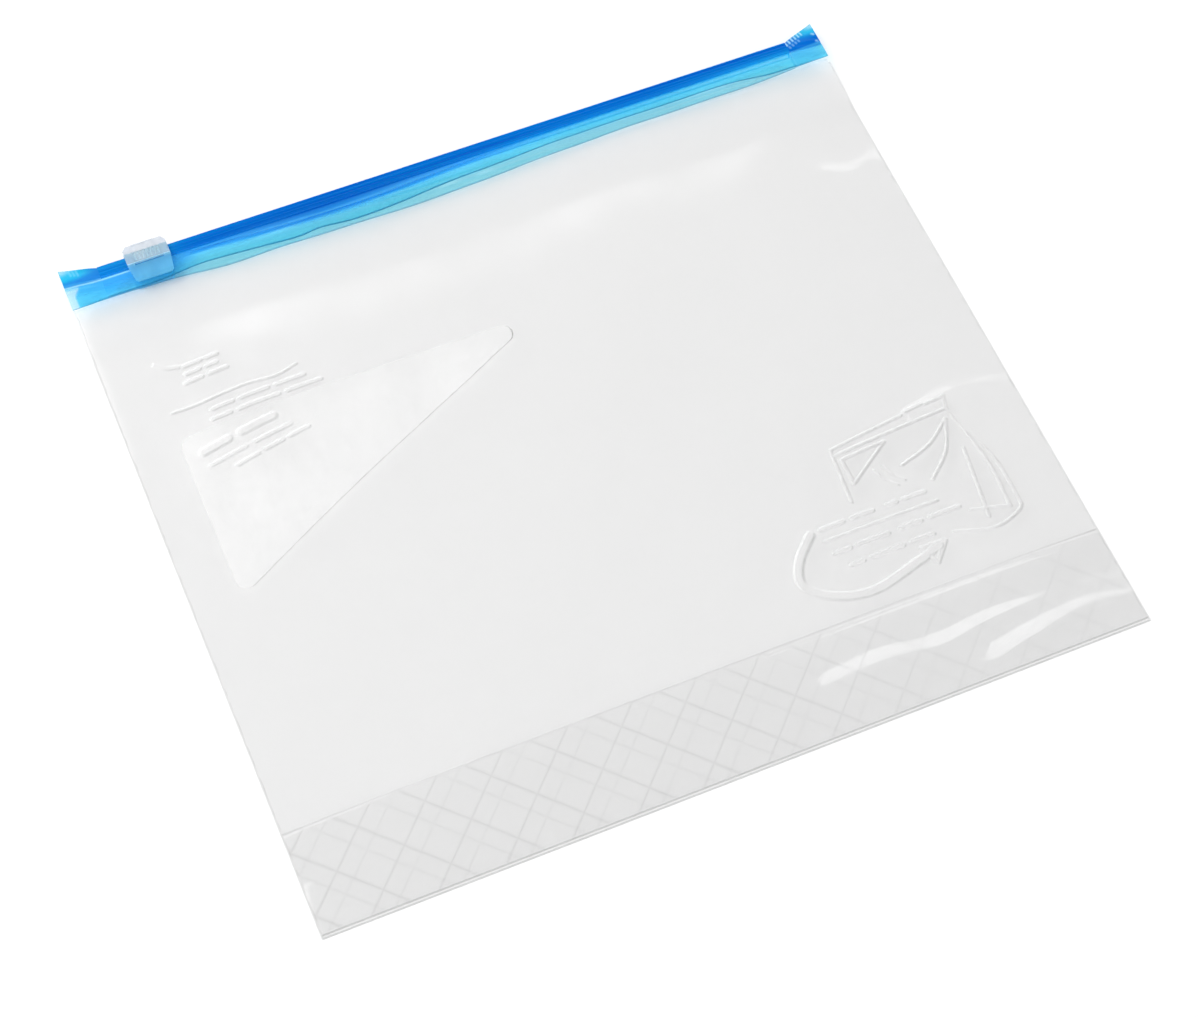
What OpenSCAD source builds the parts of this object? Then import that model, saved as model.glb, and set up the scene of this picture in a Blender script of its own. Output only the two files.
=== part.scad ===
// A clear slider-zip food bag with a bottom gusset, lying flat on its rear panel.
// +X runs along the zip, +Y from the bottom fold to the mouth, +Z up from the table.
// The origin is on the table under the middle of the bag.
// Heights called h are measured up the bag from its bottom fold.

/* [Bag] */
// Width across the side seals
bag_w = 268; // [220:1:320]
// Height from the bottom fold to the top edge of the zip
bag_h = 241; // [220:1:320]
// Thickness of the film
film_t = 0.07; // [0.05:0.01:0.1]
// Air between the front and rear panels in the middle of the bag
air_gap = 5.4; // [3:0.1:7]
// Height of the gusset that is folded in at the bottom
gusset_h = 35; // [20:1:50]
// How far the front bottom fold sits above the rear one
fold_step = 1; // [0.2:0.1:2]

/* [Zip] */
// Height of the whole zip strip, flange and closure profile
zip_h = 11.6; // [9:0.1:14]
// Height of the thick closure profile along the mouth
rail_h = 4.6; // [4.4:0.1:6]
// Thickness of the flange that is sealed to the film
flange_t = 0.25; // [0.15:0.05:0.3]
// Thickness of one rail
rail_t = 0.8; // [0.6:0.05:1]
// How far the film laps over the flange
lap_h = 4; // [2:0.5:5]
// Length of each melted end of the zip
weld_l = 12; // [8:0.5:16]
// How far the left end of the zip flares above the rest
left_ear = 4; // [1:0.5:5]
// How far the right end of the zip flares above the rest
right_ear = 5; // [1:0.5:5]

/* [Slider] */
// Length of the slider along the zip
slider_l = 14.4; // [12:0.2:18]
// Where the middle of the slider stands along the zip
slider_x = -105.5; // [-112:0.5:106]
// Height of the slider from the tips of its wings to the top of its plate
slider_h = 14.2; // [13.6:0.1:15.6]
// Thickness of the slider from front to rear
slider_t = 5.8; // [5.6:0.1:6.6]
// Running clearance between the slider and the zip
clearance = 0.2; // [0.1:0.05:0.3]

/* [Write-on patch] */
// Left edge of the patch
patch_x = -118.5; // [-122:0.5:-90]
// Top edge of the patch above the bottom fold
patch_top = 171; // [150:1:180]
// Width of the patch
patch_w = 111; // [80:1:120]
// Height of the patch
patch_h = 57.5; // [40:0.5:60]
// Corner radius of the patch
patch_r = 3.5; // [2:0.5:5]

/* [Hidden] */

// Film layers
ply_gap = 0.03;                        // air between layers that are pressed together
ply = film_t + ply_gap;
fold_d = 0.6;                          // depth of a pressed fold
leaf_start = fold_step + fold_d;       // where the front leaf and front panel leave their fold
seal_w = 0.8;                          // width of the side seals' melted bead
seal_t = 0.42;
inner_half = bag_w / 2 - seal_w;       // half the width between the seals
overall_h = bag_h + max(left_ear, right_ear);
leaf_lift = 1.2;                       // how high the gusset's inner fold floats
crown_ramp = 70;                       // distance over which the front panel rises from a side seal
bottom_ramp = 70;                      // distance over which it rises from the bottom fold
top_blend = 45;                        // distance over which it settles towards the zip
step_h = 4;                            // distance over which it steps down past the gusset's fold
place_count = 44;                      // places across a sheet that isn't flat

// Closure profile, across the thickness of the zip
table_gap = 0.1;
zip_mid = slider_t / 2 + table_gap;    // height of the zip's middle plane above the table
strip_gap = 1.9;                       // between the two flanges
inner_z = strip_gap / 2;
rail_z = inner_z + rail_t;             // outer face of a rail, from the middle plane
rail_low = bag_h - rail_h;
flange_low = bag_h - zip_h;
hook_h = rail_low + 2;                 // middle of the interlocking hook
zip_end = bag_w / 2 - weld_l;
weld_edge_z = 0.5;                     // half thickness of a melted end at the cut edge

// Film heights where it meets the zip
rear_lap_z = zip_mid - inner_z;
front_lap_z = zip_mid + inner_z - film_t;
film_top = flange_low - 0.2;           // top of the film beside the melted ends
zip_foot = flange_low - 3;             // where the film has come up to the height of the flange
film_rise = 20;                        // distance over which the rear panel climbs to there

// Slider
plate_low = bag_h + clearance + 0.05;
plate_top = bag_h + 3.5;
wing_low = plate_top - slider_h;       // tip of the wings
half_t = slider_t / 2;
wing_in = rail_z + clearance;          // inner face of a wing, from the middle plane

FILM = "#dfe4e8";
DEEP_BLUE = "#0a5ad8";
LIGHT_BLUE = "#4fc0f0";
CLEAR_WHITE = "#e8eef4";

// ---------- shared shapes ----------

function smooth(t) = let (c = min(1, max(0, t))) c * c * (3 - 2 * c);
function near_zip(h, reach) = smooth((h - (zip_foot - reach)) / reach);

// Height of the rear panel's underside above the table
function rise(h) = rear_lap_z * near_zip(h, film_rise);

// Share of the full height that the film reaches at x, being held down at the side seals
function side_share(x, ramp) = sin(90 * min(1, (inner_half - abs(x)) / ramp));
function ramp_at(h) = crown_ramp + (weld_l - 1.5 - crown_ramp) * near_zip(h, top_blend);

// Underside of the rear gusset leaf, which lies flat under the front bottom fold, then of the front panel
function leaf_z(x, h) =
    ply + leaf_lift * max(0, h - leaf_start) / (gusset_h - leaf_start) * side_share(x, crown_ramp);
function lift(h) =
    let (zip_lift = front_lap_z - rear_lap_z - ply,
         t = near_zip(h, top_blend))
    air_gap * sin(90 * min(1, h / bottom_ramp)) * (1 - t) + zip_lift * t;
function plies_below(h) = ply * (1 + 2 * (1 - smooth((h - gusset_h) / step_h)));
function front_z(x, h) = rise(h) + plies_below(h) + lift(h) * side_share(x, ramp_at(h));

// Places across the bag, closer together towards the side seals
function across_places(count) = [for (i = [0:count]) inner_half * sin(180 * i / count - 90)];
function steps(a, b, count) = [for (i = [0:count]) a + (b - a) * i / count];

// A closed sheet t thick: rows is a list of rows of [x, h, z] points on its underside
module sheet(rows, t) {
    nx = len(rows[0]);
    nh = len(rows);
    low = [for (row = rows, p = row) [p[0], p[1] - overall_h / 2, p[2]]];
    high = [for (p = low) [p[0], p[1], p[2] + t]];
    n = nx * nh;
    corner = function(i, j) j * nx + i;
    edge = concat([for (i = [0:nx - 1]) corner(i, 0)],
                  [for (j = [1:nh - 1]) corner(nx - 1, j)],
                  [for (i = [nx - 2:-1:0]) corner(i, nh - 1)],
                  [for (j = [nh - 2:-1:1]) corner(0, j)]);
    under = [for (j = [0:nh - 2], i = [0:nx - 2], half = [0, 1])
        half == 0 ? [corner(i, j), corner(i + 1, j), corner(i + 1, j + 1)]
                  : [corner(i, j), corner(i + 1, j + 1), corner(i, j + 1)]];
    over = [for (f = under) [f[2] + n, f[1] + n, f[0] + n]];
    rim = [for (k = [0:len(edge) - 1], half = [0, 1])
        let (a = edge[k], b = edge[(k + 1) % len(edge)])
        half == 0 ? [b, a, a + n] : [b, a + n, b + n]];
    polyhedron(concat(low, high), concat(under, over, rim));
}

// Extrudes an outline of [h, z] points along the zip from x0 to x1
module along_zip(x0, x1)
    translate([x0, -overall_h / 2, 0])
        rotate([90, 0, 90])
            linear_extrude(x1 - x0) children();

// Outline of a flat layer that follows the rear panel from h0 to h1, between z0 and z1 above it
module rear_layer(h0, h1, z0, z1) {
    climb = steps(zip_foot - film_rise, zip_foot, 12);
    heights = concat([h0], [for (h = climb) if (h > h0 && h < h1) h], [h1]);
    last = len(heights) - 1;
    polygon(concat([for (h = heights) [h, rise(h) + z0]],
                   [for (i = [last:-1:0]) [heights[i], rise(heights[i]) + z1]]));
}

// A pressed fold with a round nose towards the bottom, holding two plies
module bottom_fold(h, z) {
    nose = (ply + film_t) / 2;
    along_zip(-inner_half, inner_half)
        translate([h + nose, z + nose]) {
            circle(nose, $fn = 24);
            translate([0, -nose]) square([fold_d - nose, 2 * nose]);
        }
}

// ---------- film ----------

// The film laps over the flange between the melted ends, and stops short of them beside
module rear_panel() {
    notch_h = 2 * zip_h;
    color(FILM)
    difference() {
        along_zip(-inner_half, inner_half) rear_layer(fold_d, flange_low + lap_h, 0, film_t);
        for (side = [-1, 1])
            translate([side * bag_w / 2, film_top - overall_h / 2 + notch_h / 2, zip_mid])
                cube([2 * weld_l, notch_h, 2 * zip_mid], center = true);
    }
}

module front_panel() {
    rows_h = concat(steps(leaf_start, gusset_h, 6),
                    [gusset_h + step_h / 2],
                    steps(gusset_h + step_h, bottom_ramp + 5, 4),
                    steps(bottom_ramp + 25, zip_foot - top_blend, 3),
                    steps(zip_foot - top_blend + 5, zip_foot, 8),
                    [film_top - 0.4]);
    places = across_places(place_count);
    top_at = function(x) film_top + (lap_h + 0.2) * smooth((zip_end - 0.5 - abs(x)) / 6);
    rows = concat([for (h = rows_h) [for (x = places) [x, h, front_z(x, h)]]],
                  [[for (x = places) [x, top_at(x), front_z(x, top_at(x))]]]);
    color(FILM) sheet(rows, film_t);
}

module gusset_leaf(heights, lift_up) {
    rows = [for (h = heights) [for (x = across_places(place_count)) [x, h, leaf_z(x, h) + lift_up]]];
    color(FILM) sheet(rows, film_t);
}

module gusset_rear_leaf() gusset_leaf(concat([fold_d], steps(leaf_start, gusset_h - fold_d, 5)), 0);

module gusset_front_leaf() gusset_leaf(steps(leaf_start, gusset_h - fold_d, 5), ply);

module gusset_inner_fold() {
    rows = [for (h = [gusset_h - fold_d, gusset_h])
        [for (x = across_places(place_count)) [x, h, leaf_z(x, h)]]];
    color(FILM) sheet(rows, ply + film_t);
}

module rear_bottom_fold() color(FILM) bottom_fold(0, 0);

module front_bottom_fold() color(FILM) bottom_fold(fold_step, 2 * ply);

module side_seal(x) {
    color(FILM) along_zip(x, x + seal_w) rear_layer(0, film_top, 0, seal_t);
}

module left_side_seal() side_seal(-bag_w / 2);

module right_side_seal() side_seal(inner_half);

// ---------- write-on patch ----------

patch_low = patch_top - patch_h;

// Left and right ends of the rounded triangle at height h
function patch_left(h) =
    let (top = patch_top - patch_r, low = patch_low + patch_r,
         off = h > top ? h - top : h < low ? low - h : 0)
    patch_x + patch_r - sqrt(max(0, patch_r * patch_r - off * off));
function patch_right(h) =
    let (top = patch_top - patch_r, low = patch_low + patch_r,
         run = patch_w - 2 * patch_r,
         angle = atan2(top - low, run),
         nx = patch_r * sin(angle), nh = -patch_r * cos(angle),
         left = patch_x + patch_r, right = left + run)
    h > top + nh ? right + sqrt(max(0, patch_r * patch_r - (h - top) * (h - top)))
    : h < low + nh ? left + sqrt(max(0, patch_r * patch_r - (h - low) * (h - low)))
    : left + nx + (h - low - nh) / tan(angle);

module write_on_patch() {
    ink_t = 0.03;
    ink_gap = 0.04;
    edge = 0.15;
    column_count = 24;
    rows_h = concat(steps(patch_low + edge, patch_low + patch_r, 4),
                    steps(patch_low + 2 * patch_r, patch_top - 3 * patch_r, 8),
                    steps(patch_top - 2 * patch_r, patch_top - edge, 8));
    rows = [for (h = rows_h)
        [for (x = steps(patch_left(h), patch_right(h), column_count))
            [x, h, front_z(x, h) + film_t + ink_gap]]];
    color("white") sheet(rows, ink_t);
}

// ---------- zip ----------

module flange(z) {
    color(LIGHT_BLUE)
    along_zip(-zip_end, zip_end)
        translate([flange_low, z]) square([rail_low - flange_low, flange_t]);
}

module front_zip_flange() flange(zip_mid + inner_z);

module rear_zip_flange() flange(zip_mid - inner_z - flange_t);

// Outline of a rail: a ledge below for the slider's hook and a chamfered top edge
function rail_outline() =
    let (chamfer = rail_t / 2)
    [[rail_low, inner_z], [rail_low, rail_z], [bag_h - chamfer, rail_z],
     [bag_h, rail_z - chamfer], [bag_h, inner_z]];

// The front strip carries a barbed rib, pointing at the rear strip
module front_zip_profile() {
    stem = 0.4;
    barb = 0.75;
    barb_z = -0.15;
    tip = 0.25;
    tip_z = -0.75;
    rib = [[hook_h + stem, inner_z], [hook_h + stem, barb_z], [hook_h + barb, barb_z],
           [hook_h + tip, tip_z], [hook_h - tip, tip_z], [hook_h - barb, barb_z],
           [hook_h - stem, barb_z], [hook_h - stem, inner_z]];
    color(DEEP_BLUE)
    along_zip(-zip_end, zip_end)
        translate([0, zip_mid]) polygon(concat(rail_outline(), rib));
}

// The rear strip carries two jaws that close round the barbs
module rear_zip_profile() {
    jaw_out = 1.5;
    jaw_in = 1;
    lip = 0.8;
    lip_z = -0.3;
    catch = 0.5;
    catch_low = -0.1;
    catch_high = 0.05;
    groove = [[hook_h + jaw_out, inner_z], [hook_h + jaw_out, lip_z], [hook_h + lip, lip_z],
              [hook_h + catch, catch_low], [hook_h + catch, catch_high], [hook_h + jaw_in, catch_high],
              [hook_h + jaw_in, inner_z], [hook_h - jaw_in, inner_z], [hook_h - jaw_in, catch_high],
              [hook_h - catch, catch_high], [hook_h - catch, catch_low], [hook_h - lip, lip_z],
              [hook_h - jaw_out, lip_z], [hook_h - jaw_out, inner_z]];
    color(DEEP_BLUE)
    along_zip(-zip_end, zip_end)
        translate([0, zip_mid]) mirror([0, 1]) polygon(concat(rail_outline(), groove));
}

// The end of the zip is melted flat: it thins towards the cut edge and its top flares up
module end_weld(ear) {
    flare = 0.9;
    top = [for (t = steps(0, 1, 8)) [zip_end + weld_l * t, bag_h + ear * pow(t, flare)]];
    taper = [[zip_end, zip_mid - rail_z], [bag_w / 2, zip_mid - weld_edge_z],
             [bag_w / 2, zip_mid + weld_edge_z], [zip_end, zip_mid + rail_z]];
    color(LIGHT_BLUE)
    intersection() {
        translate([0, -overall_h / 2, 0])
            linear_extrude(2 * zip_mid)
                polygon(concat(top, [[bag_w / 2, flange_low], [zip_end, flange_low]]));
        translate([0, overall_h, 0])
            rotate([90, 0, 0])
                linear_extrude(2 * overall_h) polygon(taper);
    }
}

module left_end_weld() mirror([1, 0, 0]) end_weld(left_ear);

module right_end_weld() end_weld(right_ear);

// ---------- slider ----------

// Outline of the slider seen from the front, as a prism through its whole thickness
module slider_face() {
    foot_cut = 0.8;
    shoulder_l = 1.6;
    shoulder_h = 2;
    side = slider_l / 2;
    foot = side - foot_cut;
    points = [[foot_cut - foot, wing_low], [foot - foot_cut, wing_low], [foot, wing_low + foot_cut],
              [side, rail_low], [side, plate_top - shoulder_h], [side - shoulder_l, plate_top],
              [shoulder_l - side, plate_top], [-side, plate_top - shoulder_h], [-side, rail_low],
              [-foot, wing_low + foot_cut]];
    translate([slider_x, -overall_h / 2, -zip_mid])
        linear_extrude(4 * zip_mid) polygon(points);
}

module slider_slab(outline)
    intersection() {
        slider_face();
        along_zip(slider_x - slider_l / 2, slider_x + slider_l / 2)
            translate([0, zip_mid]) polygon(outline);
    }

// The plate bridges the wings above the zip and has a short raised bar for the finger
module slider_top_plate() {
    round_r = 0.9;
    bar_l = 7.2;
    bar_t = 2.6;
    bar_h = 0.8;
    corner = [for (a = steps(0, 90, 6))
        [plate_top - round_r + round_r * sin(a), half_t - round_r + round_r * cos(a)]];
    lower_corner = [for (i = [len(corner) - 1:-1:0]) [corner[i][0], -corner[i][1]]];
    color(CLEAR_WHITE)
    union() {
        slider_slab(concat([[plate_low, -half_t], [plate_low, half_t]], corner, lower_corner));
        translate([slider_x - bar_l / 2, plate_top - overall_h / 2, zip_mid - bar_t / 2])
            cube([bar_l, bar_h, bar_t]);
    }
}

// A wing hangs outside the rail: ribs to grip, a moulding window, and a hook under the rail
module slider_wing() {
    hook_top = rail_low - clearance - 0.05;
    hook_z = inner_z + flange_t + clearance;
    hook_depth = 1;
    hook_root = 0.2;
    tip_h = 1.2;
    tip_slant = 0.5;
    window = [9.8, 0.9, half_t];
    window_low = hook_top + 0.05;
    rib_gap = 1.3;
    rib_low = rail_low + 1.5;
    rib_groove = [0.6, 3, 0.2];
    outline = [[plate_low, wing_in], [plate_low, half_t], [wing_low + tip_h, half_t],
               [wing_low, half_t - tip_slant], [wing_low, wing_in - hook_root / 2],
               [hook_top - hook_depth - hook_root, wing_in - hook_root],
               [hook_top - hook_depth, hook_z], [hook_top, hook_z], [hook_top, wing_in]];
    difference() {
        slider_slab(outline);
        translate([slider_x - window[0] / 2, window_low - overall_h / 2, zip_mid + wing_in - tip_slant])
            cube(window);
        for (i = [-3:3])
            translate([slider_x + rib_gap * i - rib_groove[0] / 2,
                       rib_low - overall_h / 2,
                       zip_mid + half_t - rib_groove[2]])
                cube(rib_groove);
    }
}

module slider_front_wing() color(CLEAR_WHITE) slider_wing();

module slider_rear_wing()
    color(CLEAR_WHITE)
    translate([0, 0, 2 * zip_mid]) mirror([0, 0, 1]) slider_wing();

// The finger runs between the strips above the hooks, pointed at both ends
module slider_separator() {
    finger_l = 10;
    finger_t = 1.2;
    point_l = 2;
    jaw_top = hook_h + 1.5;
    finger_low = jaw_top + clearance;
    color(CLEAR_WHITE)
    translate([slider_x, plate_low - overall_h / 2, zip_mid])
        rotate([90, 0, 0])
            linear_extrude(plate_low - finger_low)
                polygon([[-finger_l / 2, 0], [point_l - finger_l / 2, -finger_t / 2],
                         [finger_l / 2 - point_l, -finger_t / 2], [finger_l / 2, 0],
                         [finger_l / 2 - point_l, finger_t / 2], [point_l - finger_l / 2, finger_t / 2]]);
}

front_panel();
rear_panel();
gusset_front_leaf();
gusset_rear_leaf();
gusset_inner_fold();
front_bottom_fold();
rear_bottom_fold();
left_side_seal();
right_side_seal();
front_zip_flange();
front_zip_profile();
rear_zip_flange();
rear_zip_profile();
left_end_weld();
right_end_weld();
write_on_patch();
slider_top_plate();
slider_front_wing();
slider_rear_wing();
slider_separator();
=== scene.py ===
"""A clear slider-zip food bag with a bottom gusset, lying on its rear panel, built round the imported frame.

The bag's own terms are used throughout, in millimetres: x runs along the zip, h up the bag from its bottom
fold, and z up from the table. Meshes are turned into the frame's metres as they are made.
"""

import math

import bmesh
import bpy
import numpy as np
from mathutils import Matrix, Vector


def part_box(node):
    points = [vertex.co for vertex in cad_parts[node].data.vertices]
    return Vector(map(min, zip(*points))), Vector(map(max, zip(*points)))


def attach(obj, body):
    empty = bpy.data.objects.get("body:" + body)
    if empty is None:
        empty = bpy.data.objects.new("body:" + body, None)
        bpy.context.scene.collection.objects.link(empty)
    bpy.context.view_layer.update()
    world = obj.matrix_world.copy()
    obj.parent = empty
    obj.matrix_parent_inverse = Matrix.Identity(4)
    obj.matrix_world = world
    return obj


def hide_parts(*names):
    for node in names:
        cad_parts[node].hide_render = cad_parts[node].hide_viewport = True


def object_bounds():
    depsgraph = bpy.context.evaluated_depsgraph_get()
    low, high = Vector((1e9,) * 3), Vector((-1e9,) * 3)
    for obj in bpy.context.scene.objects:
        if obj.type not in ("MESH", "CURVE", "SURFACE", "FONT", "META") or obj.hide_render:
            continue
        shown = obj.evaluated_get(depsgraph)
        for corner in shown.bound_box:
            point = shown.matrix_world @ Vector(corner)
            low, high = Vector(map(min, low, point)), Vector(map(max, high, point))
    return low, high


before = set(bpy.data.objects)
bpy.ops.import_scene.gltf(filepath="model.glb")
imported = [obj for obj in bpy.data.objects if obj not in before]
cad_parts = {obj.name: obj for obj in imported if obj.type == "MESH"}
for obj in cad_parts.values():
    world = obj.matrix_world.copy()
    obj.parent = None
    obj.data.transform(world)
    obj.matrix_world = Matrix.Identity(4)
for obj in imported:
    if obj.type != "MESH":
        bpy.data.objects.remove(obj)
cad_low, cad_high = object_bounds()

# ---------- sizes that the frame gives ----------

MM = 0.001
BAG_FOOT = cad_low.y / MM  # where h starts, along the frame's Y


def corners(node):
    """A CAD node's lowest and highest corner, as x, h and z in millimetres."""
    return [np.array(corner) / MM - [0, BAG_FOOT, 0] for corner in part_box(node)]


SEAL_LOW, SEAL_HIGH = corners("right_side_seal")
INNER_HALF = SEAL_LOW[0]  # half the width between the side seals
HALF_W = SEAL_HIGH[0]
FILM_TOP = SEAL_HIGH[1]  # top of the film beside the zip's melted ends
FRONT_FLANGE = corners("front_zip_flange")
REAR_FLANGE = corners("rear_zip_flange")
FRONT_RAIL = corners("front_zip_profile")
LEFT_WELD = corners("left_end_weld")
RIGHT_WELD = corners("right_end_weld")
PATCH = corners("write_on_patch")
SLIDER = corners("slider_front_wing")
INNER_FOLD = corners("gusset_inner_fold")
PLY = corners("front_bottom_fold")[0][2] / 2  # from one pressed layer of film to the next
FOLD_STEP = corners("front_bottom_fold")[0][1]
FLANGE_LOW = FRONT_FLANGE[0][1]
RAIL_LOW = FRONT_RAIL[0][1]
BAG_H = FRONT_RAIL[1][1]
ZIP_END = RIGHT_WELD[0][0]
WELD_L = HALF_W - ZIP_END
ZIP_MID = (FRONT_FLANGE[0][2] + REAR_FLANGE[1][2]) / 2
INNER_Z = (FRONT_FLANGE[0][2] - REAR_FLANGE[1][2]) / 2
FLANGE_T = FRONT_FLANGE[1][2] - FRONT_FLANGE[0][2]
RAIL_Z = FRONT_RAIL[1][2] - ZIP_MID
GUSSET_H = INNER_FOLD[1][1]
FOLD_D = GUSSET_H - INNER_FOLD[0][1]

# ---------- sizes of the film's lie, as the CAD film has them ----------

FILM_T = 0.07
AIR_GAP = 5.4  # between the front and rear panels in the middle of the bag
LEAF_START = FOLD_STEP + FOLD_D  # where the gusset's leaves leave the bottom folds
LEAF_LIFT = INNER_FOLD[1][2] - 2 * PLY - FILM_T  # the rear leaf's climb to the inner fold
CROWN_RAMP = 70  # the front film's climb in from the side seals
BOTTOM_RAMP = 70  # and up from the bottom fold
TOP_RAMP = WELD_L - 1.5  # and in from the side seals up by the zip
CLIMB_END = FLANGE_LOW - 3  # where the film has reached the zip's height
TOP_BLEND = 45  # below that, where the front film closes in on the rear one
FILM_RISE = 20  # below that, where the rear film leaves the table
STEP_H = 4  # where the front film steps down off the gusset's plies
LAP_H = 4  # how far the film laps over the flanges
REAR_LAP_Z = ZIP_MID - INNER_Z
FRONT_LAP_Z = ZIP_MID + INNER_Z - FILM_T
TUCK = 0.25  # how far a film's edge runs into the melted side bead
FLARE = 0.9  # how the top of a melted end rises towards its tip: 1 is straight

# ---------- small helpers ----------


def smooth(t):
    t = np.clip(t, 0, 1)
    return t * t * (3 - 2 * t)


def quarter_wave(t):
    return np.sin(math.pi / 2 * np.clip(t, 0, 1))


def steps(low, high, size):
    """Even places from low to high, about size apart."""
    return np.linspace(low, high, max(2, round((high - low) / size) + 1))


def ripples(x, h, waves):
    """A sum of plane waves. Each is (height, length along x, length along h, phase)."""
    total = np.zeros(np.broadcast(x, h).shape)
    for height, along_x, along_h, phase in waves:
        total += height * np.sin(2 * math.pi * (x / along_x + h / along_h) + phase)
    return total


def curve(points):
    """A smooth line through the points."""
    per_span = 6
    p = np.array(points, float)
    p = np.vstack([2 * p[0] - p[1], p, 2 * p[-1] - p[-2]])
    t = np.arange(per_span)[:, None] / per_span
    spans = [
        (2 * b + (c - a) * t + (2 * a - 5 * b + 4 * c - d) * t**2 + (3 * b - a - 3 * c + d) * t**3) / 2
        for a, b, c, d in zip(p, p[1:], p[2:], p[3:])
    ]
    return np.vstack([*spans, p[-2:-1]])


def edge_line(points, base):
    """A function of x that runs smoothly through the points, given as (x, offset from base)."""
    line = curve(points)
    return lambda x: base + np.interp(x, line[:, 0], line[:, 1])


def distance_to(places, line):
    """How far each place is from a line of points."""
    best = np.full(len(places), np.inf)
    for a, b in zip(line, line[1:]):
        run = b - a
        t = np.clip((places - a) @ run / max(run @ run, 1e-9), 0, 1)
        best = np.minimum(best, np.linalg.norm(places - a - t[:, None] * run, axis=1))
    return best


def relief(places, strokes):
    """Height of the film where strokes are pressed into it. Each stroke is (line, half width, height, flat),
    where flat is the share of the half width that lies level on top."""
    raised = np.zeros(len(places))
    for line, reach, height, flat in strokes:
        line = np.array(line, float)
        near = np.all((places > line.min(0) - reach) & (places < line.max(0) + reach), axis=1)
        off = distance_to(places[near], line) / reach
        raised[near] = np.maximum(raised[near], height * smooth((1 - off) / (1 - flat)))
    return raised


def falls(places, strokes, towards):
    """How steeply the relief falls towards a direction, from 0 to 1."""
    apart = 0.4
    side = apart / 2 * np.array(towards) / np.hypot(*towards)
    return np.clip((relief(places - side, strokes) - relief(places + side, strokes)) / apart, 0, 1)


# ---------- meshes ----------


def piece(name, points, faces, marks=None, crisp=50):
    """A mesh object from points of x, h and z in millimetres. marks are numbers kept at each point, by name,
    and crisp is the angle above which an edge is shaded as one."""
    mesh = bpy.data.meshes.new(name)
    places = (np.asarray(points, float) + [0, BAG_FOOT, 0]) * MM
    mesh.from_pydata(places.tolist(), [], [list(map(int, f)) for f in faces])
    for mark, values in (marks or {}).items():
        kept = mesh.attributes.new(mark, "FLOAT", "POINT")
        kept.data.foreach_set("value", np.asarray(values, np.float32))
    mesh.polygons.foreach_set("use_smooth", [True] * len(mesh.polygons))
    mesh.set_sharp_from_angle(angle=math.radians(crisp))
    made = bpy.data.objects.new(name, mesh)
    bpy.context.scene.collection.objects.link(made)
    return made


def net(xs, hs):
    """A flat net of square faces over the columns xs and the rows hs."""
    x, h = np.meshgrid(xs, hs)
    at = np.arange(x.size).reshape(x.shape)
    faces = np.stack([at[:-1, :-1], at[:-1, 1:], at[1:, 1:], at[1:, :-1]], -1).reshape(-1, 4)
    return np.column_stack([x.ravel(), h.ravel()]), faces


def refined(places, faces, strokes, reach, cuts):
    """The net with each edge nearer to a stroke than reach cut into smaller ones."""
    near = np.zeros(len(places), bool)
    for line, width, *_ in strokes:
        near |= distance_to(places, np.array(line, float)) < width + reach
    made = bmesh.new()
    points = [made.verts.new((x, h, 0)) for x, h in places]
    for f in faces:
        made.faces.new([points[i] for i in f])
    made.verts.index_update()
    chosen = [e for e in made.edges if near[e.verts[0].index] and near[e.verts[1].index]]
    bmesh.ops.subdivide_edges(made, edges=chosen, cuts=cuts, use_grid_fill=True)
    made.verts.index_update()
    new_places = np.array([v.co.xy for v in made.verts])
    new_faces = [[v.index for v in f.verts] for f in made.faces]
    made.free()
    return new_places, new_faces


def open_edges(faces):
    """The edges that only one face has, each in its face's direction."""
    seen = {}
    for f in faces:
        for a, b in zip(f, [*f[1:], f[0]]):
            if (b, a) in seen:
                del seen[b, a]
            else:
                seen[a, b] = True
    return list(seen)


def shell(name, places, faces, under, thickness, marks=None):
    """A closed thin shell: the net lies at the heights under, and again its thickness above them. A mark has
    one value for each place, or one for each place below and then one for each above."""
    faces = [[int(i) for i in f] for f in faces]
    n = len(places)
    low = np.column_stack([places, under])
    high = low + np.outer(np.broadcast_to(thickness, n), [0, 0, 1])
    above = [[i + n for i in f] for f in faces]
    below = [f[::-1] for f in faces]
    rim = [[a, b, b + n, a + n] for a, b in open_edges(faces)]
    doubled = {mark: np.resize(values, 2 * n) for mark, values in (marks or {}).items()}
    return piece(name, np.vstack([low, high]), above + below + rim, doubled)


def loft(name, rings, marks=None, crisp=50):
    """A solid through closed rings of points, with both ends filled. rings is (ring, point, x-h-z)."""
    rings = np.asarray(rings, float)
    count, around = rings.shape[:2]
    at = np.arange(count * around).reshape(count, around)
    turned = np.roll(at, -1, axis=1)
    sides = np.stack([at[:-1], turned[:-1], turned[1:], at[1:]], -1).reshape(-1, 4).tolist()
    faces = [*sides, at[0][::-1].tolist(), at[-1].tolist()]
    made = piece(name, rings.reshape(-1, 3), faces, marks, crisp)
    tidy = bmesh.new()
    tidy.from_mesh(made.data)
    bmesh.ops.recalc_face_normals(tidy, faces=tidy.faces)
    tidy.to_mesh(made.data)
    tidy.free()
    return made


# Tinted pieces and the frosting ink glow with the light that they gather and cast no shadow to speak of.
SHADOWLESS = ("zip_flange", "zip_profile", "zip_weld", "frosted_ink")


def finished(made, material, slot, replaces):
    """Gives a piece of the bag its material, lets it cast shadows unless its slot is shadowless, attaches it
    to the bag and hides the CAD node that it stands for.
    """
    made.data.materials.append(material)
    made.visible_shadow = slot not in SHADOWLESS
    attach(made, "bag")
    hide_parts(replaces)
    return made


# ---------- how the film lies ----------


def near_zip(h, reach):
    """0 far down the bag and 1 by the zip."""
    return smooth((h - (CLIMB_END - reach)) / reach)


def rear_z(h):
    """Underside of the rear panel, which climbs from the table to the zip."""
    return REAR_LAP_Z * near_zip(h, FILM_RISE)


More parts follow.
